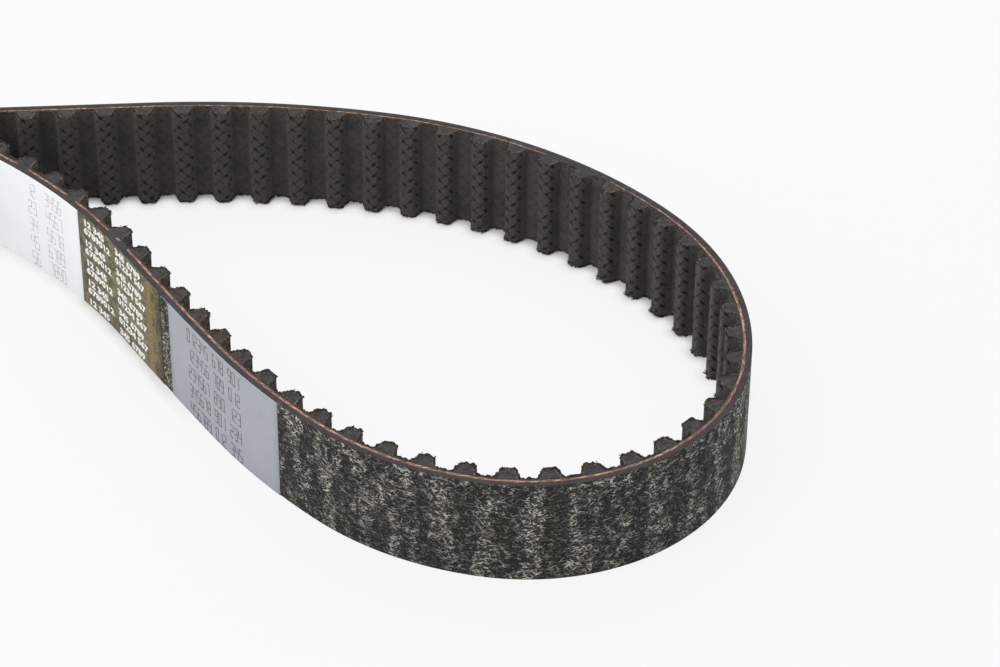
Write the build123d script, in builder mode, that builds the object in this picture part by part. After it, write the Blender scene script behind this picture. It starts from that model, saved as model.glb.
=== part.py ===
from build123d import *
from math import cos, degrees, radians, sin, tan
import os

# A toothed timing belt standing on one cut edge: an endless moulded loop, 22 mm wide, teeth inwards.
# Millimetres, +Z up. The origin is in the middle of the loop's footprint, on the surface it stands on.
# The loop lies along X and its long rear strand is on the +Y side.

# ---- Belt, as it would be ordered ----
tooth_pitch = 8.0
tooth_count = 115
belt_width = 22.0

# ---- Layers, measured outwards (+) and inwards (-) from the middle of the cords ----
cord_diameter = 1.05
back_cover = 1.45            # middle of the cords to the outside of the backing
land_depth = 0.69            # middle of the cords to the bare face between two teeth
print_thickness = 0.1

# ---- Teeth ----
tooth_height = 2.8           # above the land between two teeth
tooth_base = 4.8             # where the flanks would meet the land
flank_angle = 21.0           # from the tooth's own middle line
tip_bevel = 0.5
root_bevel = 0.35
tooth_fabric = 0.5           # the facing is thicker on a tooth than where it is pressed onto a land
first_tooth = 4.5            # middle of the rear strand to the middle of the next tooth

# ---- Shape that the loose belt takes, bend by bend, from the rear strand round to the front one ----
# Each bend has the radius of the cord line and the angle it turns. The left half mirrors the right.
rear_bow_radius = 175.0
rear_bow_turn = 16.1
rear_shoulder_radius = 98.0
rear_shoulder_turn = 38.5
nose_entry_radius = 63.3
nose_entry_turn = 49.1
nose_radius = 41.2
nose_turn = 91.8
nose_exit_radius = 60.0
nose_exit_turn = 31.8
front_shoulder_radius = 140.0
front_shoulder_turn = 13.2
front_bow_radius = 890.0
front_bow_turn = 2.3
dent_radius = 131.0          # from here the front strand bends the other way, towards the rear one
dent_turn = 19.5
waist_radius = 22.0          # turns whatever is left of the half loop

# ---- Cords laid open by the two cut edges ----
open_cord_height = 0.9       # what the cut leaves of the outermost cord
cord_change_gap = 16.0       # rubber between the end of one cord and the start of the next
upper_cord_change = 147.0    # middle of the rear strand to the first change on the upper edge
lower_cord_change = 330.0    # the same on the lower edge

# ---- Bands printed on the back, from the middle of the rear strand clockwise to their start ----
grey_label_start = 333.0
grey_label_length = 38.0
gold_band_start = 374.5
gold_band_length = 33.5
white_label_start = gold_band_start + gold_band_length
white_label_length = 32.0

# ---- Worked out from the above ----
belt_length = tooth_pitch * tooth_count
half_length = belt_length / 2
half_cord = cord_diameter / 2
land_face = -land_depth
tip_face = land_face - tooth_height
core_tip = tip_face + tooth_fabric
flank_slope = tan(radians(flank_angle))
trimmed_above = 1.0          # tooth profiles run this far past the face that trims them
profile_top = trimmed_above - half_cord
shortest_run = 1e-6

bends = [
    (rear_bow_radius, -rear_bow_turn),
    (rear_shoulder_radius, -rear_shoulder_turn),
    (nose_entry_radius, -nose_entry_turn),
    (nose_radius, -nose_turn),
    (nose_exit_radius, -nose_exit_turn),
    (front_shoulder_radius, -front_shoulder_turn),
    (front_bow_radius, -front_bow_turn),
    (dent_radius, dent_turn),
]
waist_turn = -180.0 - sum(turn for radius, turn in bends)
bends.append((waist_radius, waist_turn))


def follow(place, length, turn):
    """Where a run of belt ends. A place is x, y and heading, and a turn to the left is positive."""
    x, y, heading = place
    if turn == 0:
        return x + length * cos(heading), y + length * sin(heading), heading
    radius = length / radians(turn)
    end = heading + radians(turn)
    return x + radius * (sin(end) - sin(heading)), y - radius * (cos(end) - cos(heading)), end


# The two straight runs at the middle of the belt make the loop close at its ordered length.
curved_runs = [(radius * abs(radians(turn)), turn) for radius, turn in bends]
end_of_bends = (0.0, 0.0, 0.0)
for run_length, run_turn in curved_runs:
    end_of_bends = follow(end_of_bends, run_length, run_turn)
straight_length = half_length - sum(length for length, turn in curved_runs)
rear_straight = (straight_length - end_of_bends[0]) / 2
front_straight = (straight_length + end_of_bends[0]) / 2
right_half = [(rear_straight, 0.0)] + curved_runs + [(front_straight, 0.0)]
loop_runs = right_half + right_half[::-1]


def place_at(distance):
    """Place on the cord line at a distance from the middle of the rear strand."""
    place = (0.0, 0.0, 0.0)
    left = distance % belt_length
    for length, turn in loop_runs:
        part = min(left, length)
        if part < length:
            return follow(place, part, turn * part / length)
        place = follow(place, length, turn)
        left -= length
    return place


def draw_curve(start, end, side):
    """Adds the belt's curve between two distances to the open BuildLine, side mm outwards of the cords."""
    place = (0.0, 0.0, 0.0)
    run_start = 0.0
    for length, turn in loop_runs * 2:
        low = max(start, run_start)
        drawn = min(end, run_start + length) - low
        if drawn > shortest_run:
            x, y, heading = follow(place, low - run_start, turn * (low - run_start) / length)
            begin = (x - side * sin(heading), y + side * cos(heading))
            along = (cos(heading), sin(heading))
            if turn == 0:
                Line(begin, (begin[0] + drawn * along[0], begin[1] + drawn * along[1]))
            else:
                radius = abs(length / radians(turn) - side)
                JernArc(begin, along, radius, turn * drawn / length)
        place = follow(place, length, turn)
        run_start += length


def loop_face(side, mode=Mode.ADD):
    """Adds to the open sketch all that lies inside the loop's curve, side mm outwards of the cords."""
    with BuildLine() as outline:
        draw_curve(0.0, belt_length, side)
    make_face(outline.edges(), mode=mode)


def strip_face(start, end, inner, outer):
    """Adds a strip of one layer between two distances to the open sketch."""
    with BuildLine() as outline:
        draw_curve(start, end, inner)
        draw_curve(start, end, outer)
        for distance in (start, end):
            x, y, heading = place_at(distance)
            across = (-sin(heading), cos(heading))
            inside = (x + inner * across[0], y + inner * across[1])
            outside = (x + outer * across[0], y + outer * across[1])
            Line(inside, outside)
    make_face(outline.edges())


def flank_at(level, cover):
    """Half width of a tooth at a level, with the facing of a given thickness taken off."""
    return tooth_base / 2 - (land_face - level) * flank_slope - cover / cos(radians(flank_angle))


# The sketch plane is moved so that the middle of the footprint falls on the origin.
with BuildSketch() as footprint:
    loop_face(back_cover)
footprint_middle = footprint.sketch.bounding_box().center()
lower_edge = Plane((-footprint_middle.X, -footprint_middle.Y, 0))
upper_edge = lower_edge.offset(belt_width)

tooth_places = []
for tooth in range(tooth_count):
    tooth_x, tooth_y, tooth_heading = place_at(first_tooth + tooth * tooth_pitch)
    tooth_places.append(Location((tooth_x, tooth_y, 0), (0, 0, degrees(tooth_heading))))

# Tooth with its facing: sloped flanks, eased tip corners, and a bevel that runs out onto the land.
bevel_level = land_face - root_bevel
bevel_half = flank_at(bevel_level, 0)
top_half = bevel_half + profile_top - bevel_level
tip_half = flank_at(tip_face, 0)
with BuildSketch() as faced_tooth:
    with BuildLine():
        Polyline(
            (-top_half, profile_top),
            (-bevel_half, bevel_level),
            (-tip_half, tip_face),
            (tip_half, tip_face),
            (bevel_half, bevel_level),
            (top_half, profile_top),
            close=True,
        )
    make_face()
    chamfer(faced_tooth.vertices().group_by(Axis.Y)[0], tip_bevel)

# Moulded rubber inside the facing.
core_top_half = flank_at(profile_top, tooth_fabric)
core_tip_half = flank_at(core_tip, tooth_fabric)
with BuildSketch() as bare_tooth:
    with BuildLine():
        Polyline(
            (-core_top_half, profile_top),
            (-core_tip_half, core_tip),
            (core_tip_half, core_tip),
            (core_top_half, profile_top),
            close=True,
        )
    make_face()

# ---- Backing: the smooth rubber outside the cords ----
with BuildPart() as backing_rubber:
    with BuildSketch(lower_edge):
        loop_face(back_cover)
        loop_face(half_cord, mode=Mode.SUBTRACT)
    extrude(amount=belt_width)
backing_rubber.part.label = "backing_rubber"


# ---- Open cords: the outermost cord at each cut edge, which the cut leaves bare over half the loop ----
def open_cord_faces(first_change, first):
    """Adds one cord's run to the open sketch: the first cord's, or the one in the other half loop."""
    start = first_change if first else first_change + half_length
    strip_face(start + cord_change_gap / 2, start + half_length - cord_change_gap / 2, -half_cord, half_cord)


with BuildPart() as s_cord_runs:
    with BuildSketch(upper_edge):
        open_cord_faces(upper_cord_change, True)
    extrude(amount=-open_cord_height)
    with BuildSketch(lower_edge):
        open_cord_faces(lower_cord_change, True)
    extrude(amount=open_cord_height)
s_cord_runs.part.label = "s_cord_runs"

with BuildPart() as z_cord_runs:
    with BuildSketch(upper_edge):
        open_cord_faces(upper_cord_change, False)
    extrude(amount=-open_cord_height)
    with BuildSketch(lower_edge):
        open_cord_faces(lower_cord_change, False)
    extrude(amount=open_cord_height)
z_cord_runs.part.label = "z_cord_runs"

# ---- Cord ply: the buried turns of both cords in their bonding rubber ----
with BuildPart() as cord_ply:
    with BuildSketch(lower_edge):
        loop_face(half_cord)
        loop_face(-half_cord, mode=Mode.SUBTRACT)
    extrude(amount=belt_width)
    add(s_cord_runs.part, mode=Mode.SUBTRACT)
    add(z_cord_runs.part, mode=Mode.SUBTRACT)
cord_ply.part.label = "cord_ply"

# ---- Tooth cores, seated on the cord ply ----
with BuildPart() as tooth_cores:
    with BuildSketch(lower_edge):
        with Locations(*tooth_places):
            add(bare_tooth.sketch)
        loop_face(-half_cord, mode=Mode.INTERSECT)
    extrude(amount=belt_width)
tooth_cores.part.label = "tooth_cores"

# ---- Facing: one woven sheet over every land and tooth ----
with BuildPart() as facing_fabric:
    with BuildSketch(lower_edge):
        with Locations(*tooth_places):
            add(faced_tooth.sketch)
        with BuildSketch(mode=Mode.PRIVATE) as land_sheet:
            loop_face(-half_cord)
            loop_face(land_face, mode=Mode.SUBTRACT)
        loop_face(-half_cord, mode=Mode.INTERSECT)
        add(land_sheet.sketch)
        with Locations(*tooth_places):
            add(bare_tooth.sketch, mode=Mode.SUBTRACT)
    extrude(amount=belt_width)
facing_fabric.part.label = "facing_fabric"


# ---- Bands printed across the back ----
def printed_band_face(start, length):
    """Adds the film of one printed band to the open sketch."""
    strip_face(start, start + length, back_cover, back_cover + print_thickness)


with BuildPart() as grey_label:
    with BuildSketch(lower_edge):
        printed_band_face(grey_label_start, grey_label_length)
    extrude(amount=belt_width)
grey_label.part.label = "grey_label"

with BuildPart() as gold_print_band:
    with BuildSketch(lower_edge):
        printed_band_face(gold_band_start, gold_band_length)
    extrude(amount=belt_width)
gold_print_band.part.label = "gold_print_band"

with BuildPart() as white_label:
    with BuildSketch(lower_edge):
        printed_band_face(white_label_start, white_label_length)
    extrude(amount=belt_width)
white_label.part.label = "white_label"

os.makedirs("parts", exist_ok=True)
pieces = [backing_rubber, cord_ply, s_cord_runs, z_cord_runs, tooth_cores]
pieces += [facing_fabric, grey_label, gold_print_band, white_label]
for piece in pieces:
    export_step(piece.part, "parts/" + piece.part.label + ".step")
print("straights", round(rear_straight, 2), round(front_straight, 2), "waist turn", round(waist_turn, 2))
print("footprint middle", footprint_middle, "size", footprint.sketch.bounding_box().size)
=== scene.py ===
# %% [markdown]
# # A toothed timing belt, standing on its cut edge
# The solids come from the CAD frame. What is added here is what a mould, a loom and a slitting
# knife leave on a real belt: woven facing on the teeth, twisted cords in the cut edge, short
# fibres in the rubber and thin printed films on the back. Each piece is modelled anew on a flat
# belt and takes the place of its solid.

# %% Load the frame
import bmesh
import bpy
import math
import random
from mathutils import Matrix, Vector, noise as lumps


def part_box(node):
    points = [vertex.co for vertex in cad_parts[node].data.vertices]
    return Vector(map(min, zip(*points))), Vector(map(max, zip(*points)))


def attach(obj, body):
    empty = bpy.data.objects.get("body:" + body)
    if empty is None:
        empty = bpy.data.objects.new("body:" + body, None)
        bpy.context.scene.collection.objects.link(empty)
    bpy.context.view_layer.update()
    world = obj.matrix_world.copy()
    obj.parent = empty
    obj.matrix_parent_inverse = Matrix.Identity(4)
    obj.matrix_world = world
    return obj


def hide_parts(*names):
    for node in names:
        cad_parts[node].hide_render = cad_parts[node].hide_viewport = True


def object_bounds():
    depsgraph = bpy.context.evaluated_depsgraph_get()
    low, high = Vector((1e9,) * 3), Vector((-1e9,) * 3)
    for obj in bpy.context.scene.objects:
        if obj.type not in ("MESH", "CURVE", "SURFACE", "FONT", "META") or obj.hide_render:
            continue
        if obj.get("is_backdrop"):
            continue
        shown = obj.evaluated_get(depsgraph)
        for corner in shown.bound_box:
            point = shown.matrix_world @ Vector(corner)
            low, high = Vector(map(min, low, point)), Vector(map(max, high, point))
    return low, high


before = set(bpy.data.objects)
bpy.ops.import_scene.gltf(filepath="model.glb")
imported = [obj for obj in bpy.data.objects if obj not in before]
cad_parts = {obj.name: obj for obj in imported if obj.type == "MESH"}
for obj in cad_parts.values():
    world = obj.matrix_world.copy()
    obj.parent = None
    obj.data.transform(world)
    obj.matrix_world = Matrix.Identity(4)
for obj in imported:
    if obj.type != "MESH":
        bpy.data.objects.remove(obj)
cad_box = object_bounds()
print("CAD box", [round(n * 1000, 2) for n in (*cad_box[0], *cad_box[1])])

# %% [markdown]
# ## The belt's own numbers
# A belt is ordered by pitch, number of teeth and width. Everything else here is a layer depth,
# counted outwards from the middle of the cords, because that line keeps its length however the
# belt is bent.

# %% Sizes
mm = 0.001
tooth_pitch = 8.0 * mm
tooth_count = 115
belt_width = 22.0 * mm
belt_length = tooth_pitch * tooth_count
back_face = 1.45 * mm
half_cord = 0.525 * mm
land_face = -0.69 * mm
tooth_height = 2.8 * mm
tip_face = land_face - tooth_height
tooth_base = 4.8 * mm
flank_slope = math.tan(math.radians(21.0))
tooth_fabric = 0.5 * mm
land_fabric = -land_face - half_cord
first_tooth = 4.5 * mm
print("belt length", round(belt_length / mm), "mm")

# %% [markdown]
# ## The line of the cords
# The loose belt lies in tangent bends. Each is a radius and the angle it turns, in degrees, with
# turns to the left positive. The right half is listed from the middle of the rear strand round to
# the middle of the front one, and the left half mirrors it. The two straight runs at the ends make
# the loop close at its ordered length.

# %% Bends
bends = [
    (175.0 * mm, -16.1),
    (98.0 * mm, -38.5),
    (63.3 * mm, -49.1),
    (41.2 * mm, -91.8),
    (60.0 * mm, -31.8),
    (140.0 * mm, -13.2),
    (890.0 * mm, -2.3),
    (131.0 * mm, 19.5),
]
waist_radius = 22.0 * mm
bends.append((waist_radius, -180.0 - sum(turn for radius, turn in bends)))


def follow(place, length, turn):
    """Where a run ends that starts at place, which is x, y and heading."""
    x, y, heading = place
    if turn == 0:
        return x + length * math.cos(heading), y + length * math.sin(heading), heading
    radius = length / math.radians(turn)
    end = heading + math.radians(turn)
    x += radius * (math.sin(end) - math.sin(heading))
    y -= radius * (math.cos(end) - math.cos(heading))
    return x, y, end


curved_runs = [(radius * abs(math.radians(turn)), turn) for radius, turn in bends]
reach = (0.0, 0.0, 0.0)
for run_length, run_turn in curved_runs:
    reach = follow(reach, run_length, run_turn)
straight = belt_length / 2 - sum(length for length, turn in curved_runs)
rear_straight = (straight - reach[0]) / 2
front_straight = (straight + reach[0]) / 2
right_half = [(rear_straight, 0.0)] + curved_runs + [(front_straight, 0.0)]
loop_runs = right_half + right_half[::-1]
rear_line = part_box("backing_rubber")[1].y - back_face
print("straight runs", round(rear_straight / mm, 2), round(front_straight / mm, 2), "mm")

# %% [markdown]
# ## Bending a flat belt round the loop
# Every piece is modelled on a flat belt first: x is the distance along the cords, y the depth
# outwards and z the height. `wrap` then lays it round the loop. A Curve modifier could do that too,
# but it would bend the teeth. A real tooth is too stout to bend, so below the land a point keeps
# its place beside its own tooth's middle.

# %% Wrapping
known_places = {}


def place_at(distance):
    """Place on the cord line, which repeats every belt length."""
    key = round(distance * 1e7)
    if key not in known_places:
        place = (0.0, rear_line, 0.0)
        left = distance % belt_length
        for length, turn in loop_runs:
            if left <= length:
                place = follow(place, left, turn * left / length)
                break
            place = follow(place, length, turn)
            left -= length
        known_places[key] = place
    return known_places[key]


def laid(distance, outwards, height, anchor=None):
    """A point of the flat belt on the loop, or held stiff beside the anchor's place."""
    x, y, heading = place_at(distance if anchor is None else anchor)
    ahead = 0.0 if anchor is None else distance - anchor
    cos, sin = math.cos(heading), math.sin(heading)
    return Vector((x + ahead * cos - outwards * sin, y + ahead * sin + outwards * cos, height))


def wrap(mesh):
    """Lays a flat bmesh round the loop."""
    root_depth = 0.6 * mm
    for vert in mesh.verts:
        distance, outwards, height = vert.co
        bent = laid(distance, outwards, height)
        stiffness = min(max((land_face - outwards) / root_depth, 0.0), 1.0)
        if stiffness > 0:
            anchor = first_tooth + round((distance - first_tooth) / tooth_pitch) * tooth_pitch
            bent = bent.lerp(laid(distance, outwards, height, anchor), stiffness)
        vert.co = bent


quarter = place_at(belt_length / 4)
print("a quarter of the way round is", [round(n / mm, 1) for n in quarter[:2]], "mm")

# %% [markdown]
# ## From a flat bmesh to a piece
# A piece gets a UV map before it is wrapped, so that patterns follow the belt, in metres. U is the
# distance along it. V is the height plus the depth, so that a pattern also has room on a flat cut.
# The facing has its own distances, measured along the fabric, and there V is the height alone.
# Merging the two ends afterwards closes a full loop.

# %% Piece helper
merge_gap = 0.002 * mm


def show(thing):
    """Links a new object to the scene."""
    bpy.context.scene.collection.objects.link(thing)


def finish_piece(name, mesh, materials, replaced=(), relief=None, smooth=True):
    """Maps, wraps, closes and names a flat bmesh, and lets it ride on the belt."""
    along = mesh.verts.layers.float.get("along")
    uv = mesh.loops.layers.uv.new("belt")
    for face in mesh.faces:
        face.smooth = smooth
        for loop in face.loops:
            x, y, z = loop.vert.co
            loop[uv].uv = (loop.vert[along], z) if along else (x, z + y)
    wrap(mesh)
    bmesh.ops.remove_doubles(mesh, verts=mesh.verts, dist=merge_gap)
    bmesh.ops.recalc_face_normals(mesh, faces=mesh.faces)
    if relief:
        mesh.normal_update()
        for vert, push in [(vert, relief(vert)) for vert in mesh.verts]:
            vert.co += push
    gaps = sum(1 for edge in mesh.edges if not edge.is_manifold)
    print(name, len(mesh.faces), "faces", gaps, "open edges")
    data = bpy.data.meshes.new(name)
    mesh.to_mesh(data)
    mesh.free()
    for material in materials:
        data.materials.append(material)
    piece = bpy.data.objects.new(name, data)
    show(piece)
    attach(piece, "root")
    if replaced:
        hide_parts(*replaced)
    return piece

# %% [markdown]
# ## Outline of a tooth
# One pitch of the facing has an outer outline, which the mould made, and an inner one where it
# meets the rubber. Both run from the middle of one land to the middle of the next. Their corners
# are rounded with a vertex bevel, because each outline is still a plain line of edges. The five
# long edges, land, flank, tip, flank and land, are then divided, so that they can fray.

# %% Tooth outline
land_half = tooth_pitch / 2
base_half = tooth_base / 2
tip_half = base_half - tooth_height * flank_slope
flank_length = math.hypot(tooth_height, base_half - tip_half)
flank_cover = tooth_fabric / math.cos(math.atan(flank_slope))
core_base = base_half - flank_cover - land_fabric * flank_slope
core_tip = tip_face + tooth_fabric
core_tip_half = core_base - (-half_cord - core_tip) * flank_slope
outer_outline = [(land_half, land_face), (base_half, land_face), (tip_half, tip_face)]
inner_outline = [(land_half, -half_cord), (core_base, -half_cord), (core_tip_half, core_tip)]


def draw_outline(mesh, half_outline, root_round, tip_round):
    """Draws an outline from half of it, rounds its corners and divides its long edges."""
    points = [(-x, y) for x, y in half_outline] + half_outline[::-1]
    verts = [mesh.verts.new((x, y, 0)) for x, y in points]
    others = set(mesh.edges)
    for pair in zip(verts, verts[1:]):
        mesh.edges.new(pair)
    for corners, offset, steps in ((verts[1:5:3], root_round, 2), (verts[2:4], tip_round, 3)):
        bmesh.ops.bevel(mesh, geom=corners, offset=offset, segments=steps, profile=0.5,
                        affect="VERTICES", material=-1)
    drawn = [edge for edge in mesh.edges if edge not in others]
    longest = sorted(drawn, key=lambda edge: edge.calc_length())[-5:]
    longest.sort(key=lambda edge: edge.verts[0].co.x + edge.verts[1].co.x)
    for edge, cuts in zip(longest, (4, 5, 3, 5, 4)):
        bmesh.ops.subdivide_edges(mesh, edges=[edge], cuts=cuts)


def developed(x, y):
    """Distance from the tooth's middle, measured along its outline."""
    on_flank = min(max((y - tip_face) / tooth_height, 0.0), 1.0) * flank_length
    round_it = min(abs(x), tip_half) + on_flank + max(abs(x) - base_half, 0.0)
    return math.copysign(round_it, x)


unit_length = 2 * developed(land_half, land_face)
print("one pitch of facing is", round(unit_length / mm, 2), "mm of fabric")

# %% [markdown]
# ## Material helpers
# A finish is one Principled shader whose colour and bump are made by nodes. They could be wired by
# hand in the editor, but written out one by one they make long scripts, so `node` adds one and sets
# or links its inputs in one go. `noise` and `fade` are the two that every finish uses: a cloud of
# soft spots, and a soft step that turns part of the cloud into a share between 0 and 1.

# %% Node helpers
def node(tree, kind, inputs, **settings):
    """Adds a node, sets its properties, and sets or links each named input."""
    made = tree.nodes.new(kind)
    for key, value in settings.items():
        setattr(made, key, value)
    for socket, value in inputs.items():
        if isinstance(value, bpy.types.NodeSocket):
            tree.links.new(value, made.inputs[socket])
        else:
            made.inputs[socket].default_value = value
    return made


def maths(tree, operation, first, second=0.0, third=0.0):
    """The result of one math operation."""
    inputs = {0: first, 1: second, 2: third}
    return node(tree, "ShaderNodeMath", inputs, operation=operation).outputs[0]


def coordinates(tree, vector):
    """The three numbers of a vector, as sockets."""
    return node(tree, "ShaderNodeSeparateXYZ", {"Vector": vector}).outputs


def object_point(tree):
    """The place on the piece, in metres."""
    return node(tree, "ShaderNodeTexCoord", {}).outputs["Object"]


def noise(tree, point, size, detail=2.0, roughness=0.5):
    """Noise with features of about that size in metres."""
    inputs = {"Vector": point, "Scale": 1.0 / size, "Detail": detail, "Roughness": roughness}
    return node(tree, "ShaderNodeTexNoise", inputs).outputs["Fac"]


def fade(tree, value, low, high, smooth=True):
    """0 below low, 1 above high, and a smooth step between; low may be the larger."""
    inputs = {"Value": value, "From Min": low, "From Max": high}
    shape = "SMOOTHSTEP" if smooth else "LINEAR"
    return node(tree, "ShaderNodeMapRange", inputs, interpolation_type=shape).outputs[0]

# %% [markdown]
# ## Finish helpers
# Rubber, fabric, cord and print are all plain solid stuff, so each finish is the same shader with
# its own roughness and gloss. What tells them apart is the colour and the bump, which these helpers
# connect.

# %% Finish helpers
def blend_colours(tree, share, first, second):
    """A mix of two colours or colour sockets."""
    made = node(tree, "ShaderNodeMix", {"Factor": share}, data_type="RGBA")
    for socket, value in ((6, first), (7, second)):
        if isinstance(value, bpy.types.NodeSocket):
            tree.links.new(value, made.inputs[socket])
        else:
            made.inputs[socket].default_value = (*value, 1.0)
    return made.outputs[2]


def finish(name, roughness, gloss=0.5, sheen=0.0):
    """A material with its node tree and its shader, ready for a colour and a bump."""
    material = bpy.data.materials.new(name)
    material.use_nodes = True
    tree = material.node_tree
    shader = tree.nodes["Principled BSDF"]
    shader.inputs["Roughness"].default_value = roughness
    shader.inputs["Specular IOR Level"].default_value = gloss
    shader.inputs["Sheen Weight"].default_value = sheen
    print("finish", name, "roughness", roughness)
    return material, tree, shader


def colour_it(tree, shader, colour):
    """Gives the shader the colour that a socket carries."""
    tree.links.new(colour, shader.inputs["Base Color"])


def bump_it(tree, shader, height, depth):
    """Raises and lowers the surface by height, which runs from 0 to 1, times depth in metres."""
    bump = node(tree, "ShaderNodeBump", {"Height": height, "Strength": 1.0, "Distance": depth})
    tree.links.new(bump.outputs[0], shader.inputs["Normal"])

# %% [markdown]
# ## Cut rubber
# The knife leaves the two edges smooth and matt, a dark slate. Towards the back the cut picks up
# an olive tint from the ground fibres, which is not drawn here, and dust sits on it in olive specks.
# Specks this small would need thousands of tiny pieces, so a fine noise draws them, and the same
# noise gives a slight bump.

# %% Cut rubber
cut_rubber, tree, shader = finish("cut_rubber", 0.65, gloss=0.25)
point = object_point(tree)
cloud = fade(tree, noise(tree, point, 2.5 * mm, detail=4.0), 0.3, 0.7)
grain = noise(tree, point, 0.2 * mm, detail=3.0)
slate = blend_colours(tree, cloud, (0.023, 0.022, 0.024), (0.038, 0.036, 0.039))
speck = fade(tree, grain, 0.62, 0.7)
colour_it(tree, shader, blend_colours(tree, speck, slate, (0.085, 0.080, 0.066)))
bump_it(tree, shader, grain, 0.05 * mm)

# %% [markdown]
# ## Patterns that follow the belt
# Hairs, weave and cord streaks run along the belt and go round its bends with it. A pattern in
# space would slide over the bends, so these finishes read the piece's own UV map. `curled` pushes a
# place about, so that straight lines get wavy. `combed` stretches a noise one way, like hair.

# %% Belt patterns
def belt_point(tree):
    """Distance along the belt, or along its fabric, and height, from the piece's own UV map."""
    return node(tree, "ShaderNodeUVMap", {}, uv_map="belt").outputs[0]


def curled(tree, point, size, push):
    """The point, pushed about by a noise of that size."""
    inputs = {"Vector": point, "Scale": 1.0 / size, "Detail": 1.0}
    kind = "ShaderNodeVectorMath"
    colour = node(tree, "ShaderNodeTexNoise", inputs).outputs["Color"]
    centred = node(tree, kind, {0: colour, 1: (0.5, 0.5, 0.5)}, operation="SUBTRACT").outputs[0]
    scaled = node(tree, kind, {0: centred, "Scale": push}, operation="SCALE").outputs[0]
    return node(tree, kind, {0: point, 1: scaled}).outputs[0]


def combed(tree, point, angle, length, width, shift=0.0):
    """A noise stretched to that length and width, and laid at that angle in degrees."""
    inputs = {"Vector": point, "Location": (shift, shift * 0.7, 0)}
    inputs["Rotation"] = (0, 0, math.radians(angle))
    inputs["Scale"] = (length, width, 1.0)
    laid_down = node(tree, "ShaderNodeMapping", inputs, vector_type="TEXTURE").outputs[0]
    return noise(tree, laid_down, 1.0, detail=1.0)

# %% [markdown]
# ## Ground back: where the fibres show
# The back is ground to thickness, which bares short pale fibres in the black rubber. The
# grindstone bites deeper where a tooth props the belt up, so the fibres gather in upright patches,
# one to a tooth. A plain cosine would repeat too neatly, so upright and round noises make the
# patches uneven. Two stretches show more hair: the belt's right end, where the extra pale hair is
# partly a painted highlight of light grazing the fibres round the bend, and the bare strip
# between two of the printed bands.

# %% Fibre patches
back_rubber, tree, shader = finish("back_rubber", 0.75, gloss=0.12)
point = object_point(tree)
flat_point = curled(tree, belt_point(tree), 3.0 * mm, 0.9 * mm)
wavy_distance = coordinates(tree, curled(tree, belt_point(tree), 6.0 * mm, 6.0 * mm))[0]
over_tooth = maths(tree, "MULTIPLY", wavy_distance, math.tau / tooth_pitch)
over_tooth = maths(tree, "COSINE", over_tooth)
upright = maths(tree, "MULTIPLY", combed(tree, flat_point, 90, 9.0 * mm, 3.6 * mm), 0.55)
patch = maths(tree, "MULTIPLY_ADD", noise(tree, point, 1.8 * mm), 0.45, upright)
patch = maths(tree, "MULTIPLY_ADD", over_tooth, 0.06, patch)
plain_distance = coordinates(tree, belt_point(tree))[0]
# The right end's extra hair is partly painted highlight, for light grazing the fibres round the bend.
hair_and_highlight_stretches = [(212 * mm, 30 * mm, 0.09), (372.7 * mm, 3 * mm, 0.16)]
for middle, reach, extra in hair_and_highlight_stretches:
    away = maths(tree, "ABSOLUTE", maths(tree, "SUBTRACT", plain_distance, middle))
    patch = maths(tree, "MULTIPLY_ADD", fade(tree, away, reach, 0.4 * reach), extra, patch)
patch = fade(tree, patch, 0.42, 0.62)

# %% [markdown]
# ## Ground back: the fibres
# Thousands of modelled hairs would be heavy and too small to see singly. A thin band round the
# middle value of a noise draws fine curly lines instead, and where the noise is combed they run
# like hair. Several combings in different directions make a tangle, and a second noise breaks the
# lines into short pieces. Inside a patch the lines are thicker and show more.

# %% Fibres
combing_angles = (4, -15, 24, -38, 55)
combing_shift = 13.7 * mm
thickness = maths(tree, "MULTIPLY_ADD", patch, 0.015, 0.015)
line_core = maths(tree, "MULTIPLY", thickness, 0.6)
hair = None
for index, angle in enumerate(combing_angles):
    shift = combing_shift * (index + 1)
    line = combed(tree, flat_point, angle, 2.8 * mm, 0.66 * mm, shift)
    line = maths(tree, "ABSOLUTE", maths(tree, "SUBTRACT", line, 0.5))
    line = fade(tree, line, thickness, line_core)
    pieces = combed(tree, flat_point, angle, 1.6 * mm, 0.50 * mm, 2.3 * shift)
    line = maths(tree, "MULTIPLY", line, fade(tree, pieces, 0.53, 0.57))
    hair = line if hair is None else maths(tree, "MAXIMUM", hair, line)
shown = maths(tree, "MULTIPLY", hair, maths(tree, "MULTIPLY_ADD", patch, 0.68, 0.32))
fibre_share = noise(tree, point, 0.5 * mm)
fibre_tone = blend_colours(tree, fibre_share, (0.20, 0.195, 0.160), (0.74, 0.72, 0.61))
rubber_tone = blend_colours(tree, patch, (0.019, 0.0185, 0.019), (0.038, 0.037, 0.034))
colour_it(tree, shader, blend_colours(tree, shown, rubber_tone, fibre_tone))
bump_it(tree, shader, shown, 0.06 * mm)
print(len(combing_angles), "combings of fibre")

# %% [markdown]
# ## Facing fabric: the braid
# The facing is a stretch fabric. Pressed flat on a land it looks like fine dark felt. Over a tooth
# its fat yarns cross like a braid, with seams that rise one way and fall the other. Modelling each
# yarn on 115 teeth would take millions of faces, so the seams are worked out from the UV map, where
# U is counted from the middle of each tooth along the fabric and V is the height.

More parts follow.
